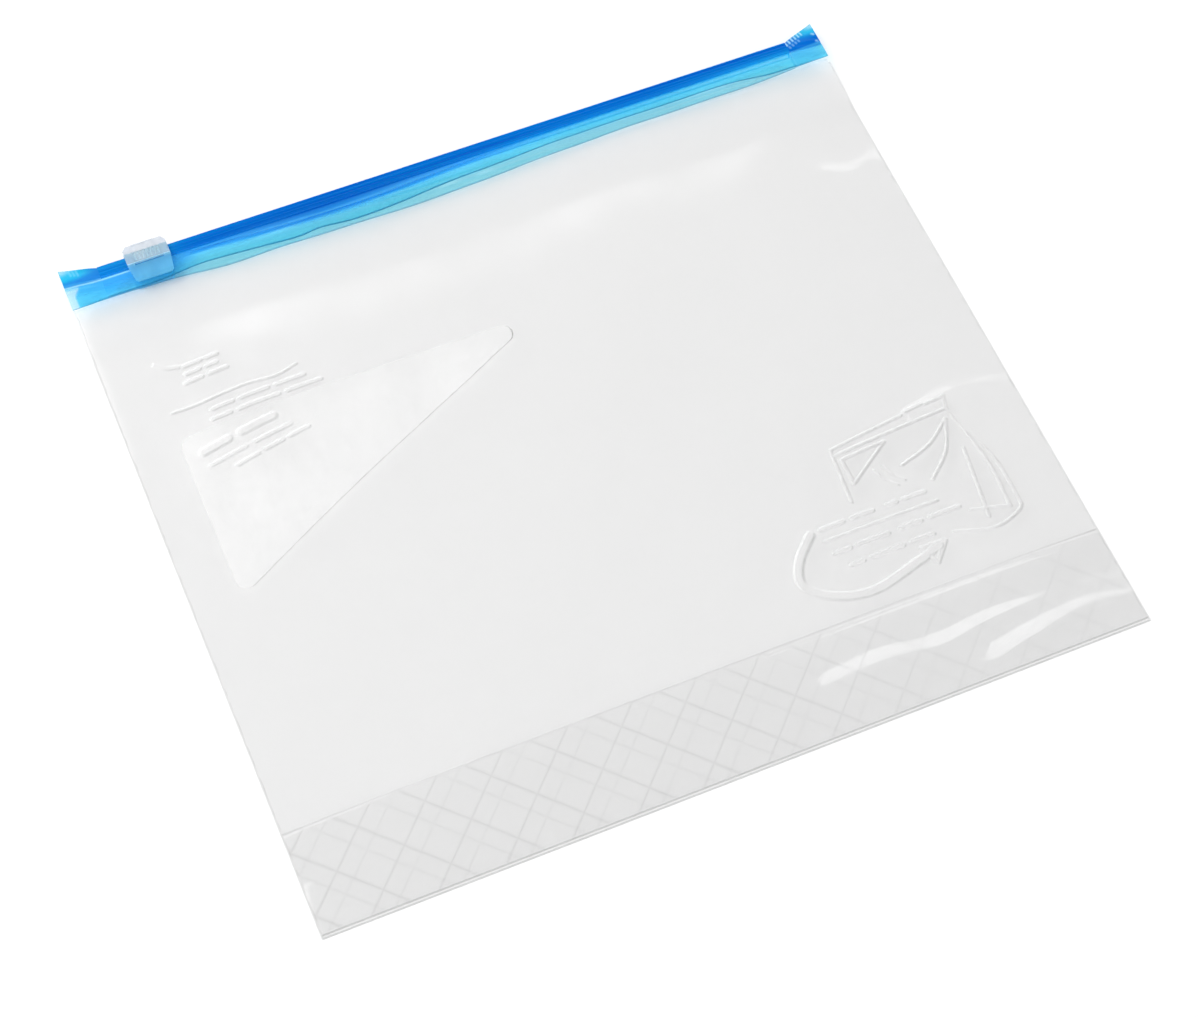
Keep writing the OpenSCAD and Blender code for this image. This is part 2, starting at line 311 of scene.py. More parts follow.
def side_share(x, ramp):
    return quarter_wave((INNER_HALF - np.abs(x)) / ramp)


def leaf_z(x, h):
    """Underside of the rear gusset leaf."""
    climb = np.maximum(0, h - LEAF_START) / (GUSSET_H - LEAF_START)
    return PLY + LEAF_LIFT * climb * side_share(x, CROWN_RAMP)


def front_z(x, h):
    """Underside of the front panel where it lies calm, as in CAD."""
    blend = near_zip(h, TOP_BLEND)
    ramp = CROWN_RAMP + (TOP_RAMP - CROWN_RAMP) * blend
    crown = AIR_GAP * quarter_wave(h / BOTTOM_RAMP) * (1 - blend)
    lift = crown + (FRONT_LAP_Z - REAR_LAP_Z - PLY) * blend
    plies = PLY * (1 + 2 * (1 - smooth((h - GUSSET_H) / STEP_H)))
    return rear_z(h) + plies + lift * side_share(x, ramp)


def leaf_spread(x, h):
    """How far the front gusset leaf stands off the rear one: nothing at its fold and at the side seals."""
    most, climb, ramp = 0.5, 12, 40
    return most * smooth((h - LEAF_START) / climb) * side_share(x, ramp)


def zip_wave(x, h):
    """The flanges' gentle lengthwise waves, which the rails, being stiff, don't share."""
    loose = smooth((RAIL_LOW - 1.5 - h) / 4) * smooth((ZIP_END - np.abs(x)) / 15)
    return loose * ripples(x, h, [(0.22, 74, np.inf, 0.4), (0.14, 31, np.inf, 2.2)])


# ---------- what is pressed into the film ----------

# Each is the half width, the height and the share of the half width that is level on top.
LINE = (0.72, 0.23, 0)  # a fine raised line
BAR = (1.0, 0.18, 0.4)  # a plain bar that stands in for small print
BAND = (1.9, 0.3, 0.45)  # a broad band
FOLD = 0  # the level share of a soft fold


def fine(*points):
    return (points, *LINE)


def fine_curve(*points):
    return (curve(points), *LINE)


def bars(h, slope, *spans):
    """A row of plain bars at height h, rising with slope. Each span is (x0, x1)."""
    start = spans[0][0]
    return [([(a, h + slope * (a - start)), (b, h + slope * (b - start))], *BAR) for a, b in spans]


def stand_up_sign():
    """A plain pictogram of a bag that stands on its gusset, with an arrow that turns it upright."""
    bag = [
        fine((67.7, 89.0), (93.8, 92.6)),
        fine((102.6, 93.6), (109.4, 94.4)),
        fine((67.7, 86.6), (108.8, 90.4)),
        fine((67.3, 89.0), (65.6, 69.7)),
        fine_curve((109.8, 94.6), (108.9, 90.0), (110.4, 82.5), (113.4, 75), (115.2, 66), (115.3, 50.6)),
        fine_curve((115.3, 50.6), (112.5, 48.4), (103.6, 46.0), (91, 49.0)),
    ]
    tab = [([(95.4, 93.4), (101.4, 94.2)], *BAR)]
    corner = [fine((69.2, 84.6), (84.7, 85.9), (69.2, 75.3), (69.2, 84.6))]
    folds = [
        fine_curve((106.9, 87.1), (97.8, 80.2), (86.0, 76.1)),
        fine_curve((106.9, 87.1), (101.6, 76.2), (92.9, 68.1)),
        fine_curve((110.4, 82), (112.4, 68), (111.6, 51.6)),
        fine((107.3, 75.3), (103.6, 50.1)),
        fine((99.2, 54.2), (111.7, 51.3)),
        fine_curve((77.3, 77.5), (78.8, 73.4), (81.8, 70.1)),
        fine_curve((80.3, 77.9), (82.0, 74.0), (84.6, 71.0)),
    ]
    words = [
        *bars(64.4, 0.02, (52.4, 60.2), (63.2, 70.4), (75.6, 78.6), (81.4, 88.4)),
        fine((52, 60.2), (91, 60.9)),
        *bars(55.4, 0.03, (53.2, 58.4), (61.0, 71.6), (75.8, 83.0), (86.0, 96.4)),
        *bars(50.0, 0.03, (56.4, 60.4), (63.6, 74.2), (77.2, 84.6)),
    ]
    arrow = [
        (curve([(48.6, 63.8), (41.6, 56.5), (39.4, 49.0), (46.6, 42.6), (59.6, 39.8), (79.0, 44.6)]), *BAND),
        ([(78.6, 47.6), (87.0, 47.4), (81.6, 41.4), (78.6, 47.6)], *BAR),
        ([(80.4, 45.4), (84.6, 46.4)], *BAND),
    ]
    return bag + tab + corner + folds + words + arrow


def small_marks():
    """Plain dashes and rules where the bag has its maker's small print."""
    sweep = [(curve([(-116.6, 200.0), (-113.6, 197.4), (-109.8, 196.2)]), *BAR)]
    return [
        *sweep,
        *bars(195.6, 0.0, (-108.4, -102.6), (-100.8, -97.2)),
        *bars(192.6, 0.0, (-108.4, -104.0), (-101.6, -98.2)),
        *bars(189.6, 0.0, (-109.6, -104.2), (-101.8, -95.8)),
        fine_curve((-117, 181.2), (-108.6, 180.6), (-94, 181.0), (-83, 180.0), (-75.4, 181.6)),
        *bars(176.9, 0.0, (-105.2, -98.4), (-95.8, -86.6), (-83.8, -74.6)),
        *bars(173.4, 0.0, (-106.2, -100.2), (-97.4, -84.2), (-81.2, -70.2)),
    ]


def patch_marks():
    """Plain bars where the patch carries a printed name."""
    return [
        ([(-112.6, 163.6), (-104.0, 164.8)], *BAND),
        ([(-99.6, 165.3), (-88.6, 166.6)], *BAND),
        ([(-112.0, 158.2), (-100.0, 159.8)], *BAR),
        ([(-96.6, 160.2), (-84.4, 161.8)], *BAR),
        *bars(154.8, 0.16, (-104.4, -97.2), (-94.6, -88.6), (-86.0, -79.6)),
    ]


EMBOSSED = [*stand_up_sign(), *small_marks(), *patch_marks()]


def soft_folds():
    """Low, broad folds of slack film that catch the light, mostly at the gusset's right."""
    return [
        (curve([(30, 21.4), (52, 22.8), (70, 20.8), (88, 22.6), (112, 21.6)]), 5.0, 0.56, FOLD),
        (curve([(84, 11.6), (100, 14.6), (118, 16.8), (134, 14.6)]), 6.0, 0.76, FOLD),
        (curve([(-130.5, -1), (-129.5, 6), (-131, 16)]), 2.6, 0.8, FOLD),
        ([(-131, 33.0), (131, 33.0)], 1.6, 0.42, FOLD),
        (curve([(96, 92.5), (114, 95.5), (134, 92.0)]), 3.0, 0.74, FOLD),
        (curve([(112, 187.5), (121, 184.5), (131, 188.0)]), 3.2, 0.95, FOLD),
        (curve([(-44, 210.6), (-33, 211.0), (-22, 211.8)]), 2.0, 0.3, FOLD),
        (curve([(-131.5, 226), (-131, 190), (-133.0, 140)]), 1.6, 0.35, FOLD),
        (curve([(-10, 225.5), (-4, 228.5), (2, 225.0), (8, 228.5), (14, 225.0)]), 2.0, 0.35, FOLD),
        (curve([(-120, 223.4), (-80, 222.8), (-46, 224.2)]), 1.8, 0.25, FOLD),
        (curve([(20, 226.4), (70, 227.0), (118, 225.6)]), 1.8, 0.22, FOLD),
    ]


def slack(x, h):
    """How the front film strays from its calm lie: it never sinks far where other layers are close below."""
    room = side_share(x, 50) * smooth(h / 60) * (1 - near_zip(h, 30))
    wide = [(0.34, 168, 240, 0.3), (0.26, 96, -150, 1.9), (0.16, -61, 88, 4.0)]
    close = [(0.05, 27, 61, 0.7), (0.04, -19, 43, 2.9)]
    return room * (ripples(x, h, wide) + ripples(x, h, close))


def front_top_z(places):
    """Upper side of the front film."""
    x, h = places.T
    lie = front_z(x, h) + slack(x, h) + relief(places, soft_folds()) + relief(places, EMBOSSED)
    return lie + zip_wave(x, h) * near_zip(h, 14) + FILM_T


# ---------- materials ----------


WHITE = (1, 1, 1, 1)


def grey(level):
    return (level, level, level, 1)


def linear(red, green, blue):
    """A colour as shown on screen, 0 to 255 each, as the renderer's own."""
    shown = np.array([red, green, blue]) / 255
    values = np.where(shown <= 0.04045, shown / 12.92, ((shown + 0.055) / 1.055) ** 2.4)
    return (*values.tolist(), 1.0)


class Nodes:
    """A material's or a world's nodes. Each add() makes one node, sets or links its inputs and gives one of
    its outputs."""

    def __init__(self, owner):
        owner.use_nodes = True
        self.owner = owner
        self.tree = owner.node_tree
        self.tree.nodes.clear()

    def add(self, kind, inputs=(), out=0, **settings):
        made = self.tree.nodes.new("ShaderNode" + kind)
        for setting, value in settings.items():
            setattr(made, setting, value)
        for key, value in dict(inputs).items():
            if isinstance(value, bpy.types.NodeSocket):
                self.tree.links.new(value, made.inputs[key])
            else:
                made.inputs[key].default_value = value
        return made.outputs[out]

    def math(self, operation, *values, **settings):
        return self.add("Math", enumerate(values), operation=operation, **settings)

    def mark(self, name):
        """A number kept at each point of the mesh."""
        return self.add("Attribute", out=2, attribute_name=name)

    def mix(self, share, first, second):
        """Of two shaders."""
        return self.add("MixShader", {0: share, 1: first, 2: second})

    def colour(self, share, first, second):
        """Between two colours, which are the Mix node's inputs 6 and 7 and its output 2."""
        return self.add("Mix", {0: share, 6: first, 7: second}, out=2, data_type="RGBA")

    def spread(self, value, low, high, to_low, to_high, **settings):
        """The value, moved from one range to another and held within it."""
        return self.add("MapRange", {0: value, 1: low, 2: high, 3: to_low, 4: to_high}, **settings)

    def noise(self, scale, detail, stretch=(1, 1, 1)):
        place = self.add("TexCoord", out=3)
        if stretch != (1, 1, 1):
            place = self.add("Mapping", {"Vector": place, "Scale": stretch})
        return self.add("TexNoise", {"Vector": place, "Scale": scale, "Detail": detail})

    def mirror_share(self, least):
        """How much a smooth plastic mirrors: least when met head on, everything at a graze."""
        facing = self.add("LayerWeight", {"Blend": 0.5}, out=1)
        return self.math("MULTIPLY_ADD", self.math("POWER", facing, 5.0), 1 - least, least)

    def bump(self, height, strength, distance):
        return self.add("Bump", {"Height": height, "Strength": strength, "Distance": distance})

    def shine(self, roughness, bump):
        return self.add("BsdfGlossy", {"Color": WHITE, "Roughness": roughness, "Normal": bump})

    def milky(self, passing, colour, bump, roughness=0.0):
        """A body that scatters light back, and a share of it on through."""
        back = self.add("BsdfDiffuse", {"Color": colour, "Roughness": roughness, "Normal": bump})
        return self.mix(passing, back, self.add("BsdfTranslucent", {"Color": colour}))

    def done(self, shader, kind="Material"):
        end = self.tree.nodes.new("ShaderNodeOutput" + kind)
        self.tree.links.new(shader, end.inputs["Surface"])
        return self.owner


def surface(name):
    """The nodes of a new material."""
    return Nodes(bpy.data.materials.new(name))


def film_material(name, passes, shade_passes, haze, painted_highlight, mirror):
    """Clear polyethylene: each surface passes a share of the light, mirrors a little, and has a faint milky
    haze. Its marks paint light: one says where shade is painted, as film that passes less, and the other
    where a highlight is painted, as milky film."""
    s = surface(name)
    painted_shade, highlit = s.mark("painted_shade"), s.mark("painted_highlight")
    through = s.add("BsdfTransparent", {"Color": s.colour(painted_shade, grey(passes), grey(shade_passes))})
    waviness = s.noise(30, 1)
    bump = s.bump(waviness, 0.5, 0.0004)
    milk = s.add("BsdfDiffuse", {"Color": grey(0.95)})
    hazed = s.mix(s.math("MULTIPLY_ADD", highlit, painted_highlight, haze), through, milk)
    roughness = s.spread(waviness, 0.3, 0.7, 0.07, 0.16)
    return s.done(s.mix(s.mirror_share(mirror), hazed, s.shine(roughness, bump)))


def zip_material(name, glass, milk, milk_share, deep_glass, deep_milk, deep_share):
    """Tinted polyethylene with fine lengthwise flow lines. The marks say where it is deep blue, where a line
    is pale, and where a cut edge looks darker, because light runs along inside it."""
    s = surface(name)
    lines = s.spread(s.noise(90, 3, (0.12, 9, 1)), 0.35, 0.65, 0, 1)
    edge, pale, deep = (s.mark(mark) for mark in ("edge", "pale", "deep"))
    light_tint = s.colour(lines, glass[0], glass[1])
    tint = s.colour(edge, s.colour(deep, light_tint, deep_glass), EDGE_BLUE)
    through = s.add("BsdfTransparent", {"Color": tint})
    light_body = s.colour(lines, milk[0], milk[1])
    deep_body = s.colour(lines, deep_milk[0], deep_milk[1])
    blue = s.colour(edge, s.colour(deep, light_body, deep_body), EDGE_BLUE)
    body = s.colour(pale, blue, PALE_BLUE)
    bump = s.bump(lines, 0.3, 0.0002)
    solid = s.milky(0.4, body, bump)
    blue_share = s.math("MULTIPLY_ADD", edge, 0.4, s.spread(deep, 0, 0.55, milk_share, deep_share))
    share = s.math("MAXIMUM", blue_share, s.math("MULTIPLY", pale, 0.8))
    roughness = s.spread(s.noise(50, 3), 0.3, 0.7, 0.12, 0.26)
    return s.done(s.mix(s.mirror_share(0.006), s.mix(share, through, solid), s.shine(roughness, bump)))


def weld_material(name):
    """The melted ends: deep blue where the rails were, light where the flanges were, thin and pale at the
    ears' tips, and clear where the colour has run out."""
    s = surface(name)
    deep, tip, clear, pale, edge = (s.mark(mark) for mark in ("deep", "tip", "clear", "pale", "edge"))
    swirl = s.noise(200, 3, (0.4, 1.6, 1))
    wavy = s.math("ADD", deep, s.spread(swirl, 0.3, 0.7, -0.1, 0.1), use_clamp=True)
    blue = s.colour(tip, s.colour(wavy, linear(94, 210, 242), linear(0, 118, 208)), linear(50, 196, 230))
    marked = s.colour(pale, s.colour(clear, blue, linear(218, 234, 243)), PALE_BLUE)
    body = s.colour(edge, marked, EDGE_BLUE)
    glass = s.colour(wavy, linear(176, 236, 246), linear(20, 150, 230))
    tinted = s.colour(tip, glass, linear(130, 222, 240))
    through = s.add("BsdfTransparent", {"Color": s.colour(clear, tinted, linear(240, 248, 252))})
    bump = s.bump(swirl, 0.4, 0.0003)
    solid = s.milky(0.3, body, bump)
    solidity = s.math("MULTIPLY", s.spread(wavy, 0, 0.6, 0.14, 0.88), s.spread(tip, 0, 1, 1, 0.7))
    share = s.math("MULTIPLY", solidity, s.spread(clear, 0, 1, 1, 0.2))
    cover = s.math("MAXIMUM", share, s.math("MAXIMUM", pale, s.math("MULTIPLY", edge, 0.7)))
    mirrored = s.math("MULTIPLY", s.mirror_share(0.01), s.math("SUBTRACT", 1.0, clear))
    return s.done(s.mix(mirrored, s.mix(cover, through, solid), s.shine(0.14, bump)))


def patch_material():
    """White frosting ink, thin enough to let a little through, with painted shade along its far edge."""
    s = surface("frosting_ink")
    grain = s.noise(1600, 2)
    cloud = s.noise(60, 3, (1, 0.4, 1))
    rim = s.mark("rim")
    through = s.add("BsdfTransparent", {"Color": s.colour(rim, grey(0.985), grey(0.55))})
    ink = s.milky(0.45, grey(0.97), s.bump(grain, 0.35, 0.0001), 0.6)
    cover = s.math("MULTIPLY_ADD", grain, 0.06, s.spread(cloud, 0.35, 0.65, 0.035, 0.095))
    return s.done(s.mix(s.math("MULTIPLY", cover, s.spread(rim, 0, 1, 1, 0.3)), through, ink))


def slider_material(name, thin_milk, thick_milk, thin_body, thick_body):
    """Natural polypropylene with faint moulding swirls: clearer below the rails' foot and milkier above.
    Painted light makes the grooves milkier, so that they show as lighter lines, and a painted highlight makes
    the window's upper lip milkiest."""
    s = surface(name)
    place = s.add("TexCoord", out=3)
    up, above = (s.add("SeparateXYZ", {0: place}, out=axis) for axis in (1, 2))
    foot = (RAIL_LOW + BAG_FOOT) * MM
    window_lip = foot + 0.75 * MM
    face = SLIDER[1][2] * MM
    body_share = s.spread(up, foot + 0.5 * MM, foot + 0.9 * MM, 0, 1)
    # Painted light: the grooves' floors are milkier, so that they show as lighter lines.
    groove = s.spread(above, face - 0.18 * MM, face - 0.04 * MM, 0.8, 0)
    recess = s.math("MULTIPLY_ADD", groove, body_share, 0.95)
    # A painted highlight: a milky band along the window's upper lip.
    off_lip = s.math("ABSOLUTE", s.math("SUBTRACT", up, window_lip))
    lip = s.spread(off_lip, 0.14 * MM, 0.26 * MM, 0.9, 0)
    thick = s.math("MULTIPLY", s.spread(body_share, 0, 1, thin_milk, thick_milk), recess)
    swirl = s.noise(160, 2, (1, 0.5, 1))
    through = s.add("BsdfTransparent", {"Color": linear(251, 252, 254)})
    body = s.colour(body_share, thin_body, s.colour(swirl, thick_body, linear(240, 243, 246)))
    bump = s.bump(swirl, 0.25, 0.0002)
    solid = s.milky(0.4, body, bump)
    shine = s.shine(s.spread(swirl, 0.3, 0.7, 0.16, 0.3), bump)
    milk = s.math("MAXIMUM", lip, s.math("MULTIPLY", thick, s.spread(swirl, 0.3, 0.7, 0.8, 1.2)))
    return s.done(s.mix(s.mirror_share(0.03), s.mix(milk, through, solid), shine))


CLEAR_FILM = film_material("clear_film", 0.991, 0.81, 0.008, 0.22, 0.032)
GUSSET_FILM = film_material("embossed_film", 1.0, 0.95, 0.001, 0.05, 0.005)
MELTED_FILM = film_material("melted_film", 0.98, 0.9, 0.02, 0.1, 0.03)
EDGE_BLUE = linear(24, 140, 180)
PALE_BLUE = linear(190, 242, 255)
LIGHT_GLASS = (linear(214, 248, 250), linear(229, 251, 251))
LIGHT_MILK = (linear(84, 206, 244), linear(116, 216, 248))
RAIL_MILK = (linear(10, 160, 222), linear(40, 190, 236))
DEEP_GLASS = linear(10, 160, 240)
DEEP_MILK = (linear(0, 102, 202), linear(0, 140, 216))
FLANGE_PLASTIC = zip_material("flange_plastic", LIGHT_GLASS, LIGHT_MILK, 0.07, DEEP_GLASS, DEEP_MILK, 0.85)
RAIL_PLASTIC = zip_material("rail_plastic", LIGHT_GLASS, RAIL_MILK, 0.1, DEEP_GLASS, DEEP_MILK, 0.88)
WELD_PLASTIC = weld_material("melted_blue_plastic")
INK = patch_material()
PLATE_WHITE = linear(222, 228, 233)
PLATE_PLASTIC = slider_material("thick_polypropylene", 0.4, 0.4, PLATE_WHITE, PLATE_WHITE)
# The wing's body colours are painted light: a cyan tint for the zip's blue light behind it, which the wing
# gathers and scatters, strongest in its thin part.
WING_PLASTIC = slider_material("thin_polypropylene", 0.45, 0.5, linear(136, 224, 252), linear(180, 228, 240))

# ---------- the film pieces ----------

FILM_HALF = INNER_HALF + TUCK
KNEE = FILM_TOP - 2  # above it, the panels' rows close in on the lap's edge


def film_edges(xs):
    """Columns across the film, with its two edges added."""
    return np.concatenate([[-FILM_HALF], xs[np.abs(xs) < FILM_HALF - 0.1], [FILM_HALF]])


def lap_top(x):
    """Top edge of the film, which reaches over the flange, and beside it up to the melted ends."""
    beside = np.maximum(FILM_TOP, FRONT_EDGE(x) - 0.1)
    between = smooth((ZIP_END - 0.5 - np.abs(x)) / 6)
    return beside + between * (FILM_TOP + LAP_H + 0.2 - beside)


def to_lap(places):
    """Moves the rows above the knee so that the last one lies along the lap's edge."""
    x, h = places.T
    share = np.clip((h - KNEE) / (h.max() - KNEE), 0, 1)
    return np.column_stack([x, np.where(h > KNEE, KNEE + share * (lap_top(x) - KNEE), h)])


def front_film():
    over_gusset = steps(LEAF_START, GUSSET_H + STEP_H, 0.6)
    panel = steps(GUSSET_H + 6.5, FILM_TOP - 3, 2.5)
    lap = steps(KNEE, FILM_TOP + LAP_H, 0.7)
    columns = film_edges(steps(-FILM_HALF, FILM_HALF, 2.5))
    places, faces = net(columns, np.concatenate([over_gusset, panel, lap]))
    places, faces = refined(places, faces, EMBOSSED, reach=3.6, cuts=6)
    places = to_lap(places)
    # Painted shade on the relief's sides that face the lower right, away from the key light, and a painted
    # highlight, milky, on the sides that face the upper left, towards it.
    marks = {
        "painted_shade": np.minimum(1, 2.2 * falls(places, EMBOSSED, (1, -1))),
        "painted_highlight": np.minimum(1, 2.2 * falls(places, EMBOSSED, (-1, 1))),
    }
    made = shell("front_film", places, faces, front_top_z(places) - FILM_T, FILM_T, marks)
    return finished(made, CLEAR_FILM, "film", "front_panel")


def rear_film():
    lying = steps(FOLD_D, 200, 5)
    climbing = steps(202, FILM_TOP - 3, 1.5)
    lap = steps(KNEE, FILM_TOP + LAP_H, 1)
    columns = film_edges(steps(-FILM_HALF, FILM_HALF, 4))
    places, faces = net(columns, np.concatenate([lying, climbing, lap]))
    places = to_lap(places)
    x, h = places.T
    made = shell("rear_film", places, faces, rear_z(h), FILM_T, {"painted_shade": 0 * x})
    return finished(made, CLEAR_FILM, "film", "rear_panel")


# The gusset is embossed with a diamond grid. Its cells are a whole number of net squares, so that each line
# runs along the corners of the net. The rear leaf has the same grid, turned over at the inner fold.
GRID_STEP = 0.8
GRID_CELL = 26 * GRID_STEP
GRID_X = -102.05  # where two of the front leaf's lines cross
GRID_H = 17.9
LINE_HALF = 0.5


def grid_lines(x, h, crossing_h):
    """1 on a line of the diamond grid and 0 off it, for a leaf where two lines cross at crossing_h."""
    near = np.zeros(x.shape)
    for along in (1, -1):
        off = (x - GRID_X - along * (h - crossing_h)) / GRID_CELL
        apart = np.abs(off - np.round(off)) * GRID_CELL / math.sqrt(2)
        near = np.maximum(near, np.clip(1 - apart / LINE_HALF, 0, 1))
    return near


def gusset_net(crossing_h):
    """Triangles that are cut along the grid's lines where one passes."""
    low, high = LEAF_START, GUSSET_H - FOLD_D
    first = crossing_h - GRID_STEP * math.floor((crossing_h - low - 0.1) / GRID_STEP)
    rows = np.concatenate([[low], np.arange(first, high - 0.1, GRID_STEP), [high]])
    start = GRID_X - GRID_STEP * math.floor((GRID_X + FILM_HALF) / GRID_STEP)
    places, faces = net(film_edges(np.arange(start, FILM_HALF, GRID_STEP)), rows)
    on_line = grid_lines(*places.T, crossing_h) > 0.5
    falling = on_line[faces[:, 1]] & on_line[faces[:, 3]]
    cut = np.where(falling[:, None], faces[:, [0, 1, 3, 1, 2, 3]], faces[:, [0, 1, 2, 0, 2, 3]])
    return places, cut.reshape(-1, 3)


def gusset_leaf(name, crossing_h, spread, replaces, fade):
    places, faces = gusset_net(crossing_h)
    x, h = places.T
    lines = grid_lines(x, h, crossing_h)
    room = leaf_spread(x, h)
    lie = leaf_z(x, h) + spread * (PLY + room) + np.minimum(0.14, 0.5 * room) * lines
    # Painted shade: the grid's embossed lines pass less light, fading to four tenths of it towards the right.
    strength = fade * (1 - 0.6 * smooth((x + 20) / 120))
    made = shell(name, places, faces, lie, FILM_T, {"painted_shade": lines * strength})
    return finished(made, GUSSET_FILM, "gusset_film", replaces)


def turned_fold(name, h0, depth, nose, low_z, gap, replaces, material, slot, painted_shade):
    """A fold with a round nose. low_z is its underside, gap the height between its two plies, and nose is 1
    for a nose towards the mouth and -1 for one towards the bottom. h0 is where the plies enter it."""
    xs = film_edges(steps(-FILM_HALF, FILM_HALF, 3))
    around = np.linspace(-math.pi / 2, math.pi / 2, 9)
    rings = []
    for x in xs:
        low = float(low_z(x))
        outer = (float(gap(x)) + FILM_T) / 2
        inner = outer - FILM_T
        middle = low + outer
        centre = h0 + nose * (depth - outer)
        loop = [(h0, middle - outer)]
        loop += [(centre + nose * outer * math.cos(a), middle + outer * math.sin(a)) for a in around]
        loop += [(h0, middle + outer), (h0, middle + inner)]
        loop += [(centre + nose * inner * math.cos(a), middle + inner * math.sin(a)) for a in around[::-1]]
        loop += [(h0, middle - inner)]
        rings.append([(x, h, z) for h, z in loop])
    # Painted shade: the whole fold passes less light, so that it shows as a darker line.
    made = loft(name, rings, {"painted_shade": np.full(len(rings) * len(rings[0]), painted_shade)})
    return finished(made, material, slot, replaces)


def side_bead(name, side, replaces):
    """The cut and melted edge: a thin bead with an uneven width."""
    around = np.linspace(0, 2 * math.pi, 13)[:-1]
    rings = []
    for h in steps(0, FILM_TOP, 2.2):
        melt = 0.5 + 0.5 * math.sin(0.9 * h + 1.7 * math.sin(0.31 * h))
        width = (HALF_W - INNER_HALF) * (0.7 + 0.3 * melt)
        height = 0.34 + 0.08 * melt
        middle = side * (HALF_W - width / 2)
        low = float(rear_z(h))
        rings.append([
            (middle + width / 2 * math.cos(a), h, low + height / 2 * (1 + math.sin(a))) for a in around
        ])
    # Painted shade: the bead passes less light and shows as a darker line along the edge.
    made = loft(name, rings, {"painted_shade": np.full(len(rings) * len(around), 0.5)}, crisp=70)
    return finished(made, MELTED_FILM, "film", replaces)


# ---------- the write-on patch ----------


def patch_ends(h):
    """Left and right ends of the rounded triangle at height h. It overruns the rows of its net a little, so
    that they don't end in a point."""
    radius = 3.5
    overrun = 0.15
    left = PATCH[0][0] + radius
    right = PATCH[1][0] - radius
    top = PATCH[1][1] + overrun - radius
    low = PATCH[0][1] - overrun + radius
    angle = math.atan2(top - low, right - left)
    over_x, over_h = radius * math.sin(angle), -radius * math.cos(angle)
    off = np.maximum(0, np.maximum(h - top, low - h))
    cap = np.sqrt(np.maximum(0, radius**2 - off**2))
    slant = left + over_x + (h - low - over_h) / math.tan(angle)
    round_top = right + np.sqrt(np.maximum(0, radius**2 - (h - top) ** 2))
    round_low = left + np.sqrt(np.maximum(0, radius**2 - (h - low) ** 2))
    far = np.where(h > top + over_h, round_top, np.where(h < low + over_h, round_low, slant))
    return left - cap, far


def write_on_patch():
    ink_t = 0.03
    across = np.concatenate([np.linspace(0, 0.99, 200), [0.995, 1]])
    places, faces = net(across, steps(PATCH[0][1], PATCH[1][1], 0.45))
    share, h = places.T
    left, far = patch_ends(h)
    places = np.column_stack([left + share * (far - left), h])
    # Painted shade along the patch's far edge, fading out towards its top.
    rim = smooth(1 - (far - places[:, 0]) / 0.45) * smooth((PATCH[1][1] - h) / 4)
    made = shell("frosted_patch", places, faces, front_top_z(places) + ink_t, ink_t, {"rim": rim})
    return finished(made, INK, "frosted_ink", "write_on_patch")


# ---------- the zip ----------

# The flanges' lower edges wander, each in its own way.
FRONT_EDGE = edge_line([
    (-134, -0.7), (-105, -0.4), (-87, 0.8), (-60, -1.5), (-50, -0.6), (-35, -1.7), (-8, 0.4),
    (20, 1.8), (42, 3.0), (80, 3.0), (100, 2.8), (115, 1.2), (134, 1.6),
], FLANGE_LOW)
REAR_EDGE = edge_line([
    (-134, 0.5), (-105, 0.3), (-82, -1.6), (-60, -1.7), (-8, -2.1), (25, -0.6), (40, 0.2),
    (60, 0.8), (90, 0.7), (108, 1.2), (122, 2.0), (134, 2.6),
], FLANGE_LOW)


def middle_share(x):
    """1 where the zip's colour is deepest, left of its middle, and 0 far from there."""
    return np.exp(-(((x + 42) / 46) ** 2))


def left_share(x):
    """1 where the slider is parked and left of it, where the colour is paler."""
    return smooth((-88 - x) / 14)


def flange_deep(x, h):
    """How deep a flange's blue is: the rails' colour runs down into it in the middle and fades out on the
    left."""
    run_down = 0.85 * smooth((h - RAIL_LOW + 2.6 * middle_share(x)) / 0.9) * middle_share(x)
    faded = 0.28 * left_share(x) * np.clip((h - FLANGE_LOW + 1) / (RAIL_LOW - FLANGE_LOW), 0, 1) ** 1.4
    return np.maximum(run_down, faded)


def pale_line(x, h):
    """1 along the foot of the rails at the left end, where the strip is thin and passes more light: a light
    line painted in pale milk.
    """
    return smooth((-110 - x) / 3) * np.clip(1.4 - np.abs(h - RAIL_LOW + 0.4) / 0.35, 0, 1)


def rail_deep(x, h, starts):
    """How deep a rail's blue is. starts is how far above the rail's lower edge the colour sets in."""
    begins = RAIL_LOW + starts * (1 - middle_share(x))
    full = smooth((h - begins + 0.05) / 0.12) * (0.7 + 0.3 * smooth((h - begins - 0.4) / 2))
    return np.maximum(full, 0.8 * middle_share(x)) * (1 - 0.4 * left_share(x))


def zip_flange(name, low_edge, z, edge_strength, replaces):
    rows = np.concatenate([[0, 0.03], steps(0.08, 0.84, 0.08), steps(0.87, 1, 0.03)])
    places, faces = net(steps(-ZIP_END, ZIP_END, 2), rows)
    x, up = places.T
    h = low_edge(x) + up * (RAIL_LOW - low_edge(x))
    places = np.column_stack([x, h])
    edge = edge_strength * np.clip(1 - up / 0.05, 0, 1)
    marks = {"edge": edge, "deep": flange_deep(x, h), "pale": pale_line(x, h)}
    made = shell(name, places, faces, z + zip_wave(x, h), FLANGE_T, marks)
    return finished(made, FLANGE_PLASTIC, "zip_flange", replaces)


RAIL_GROOVES = (0.6, 1.1, 2.1, 3.3)  # up from the rail's lower edge


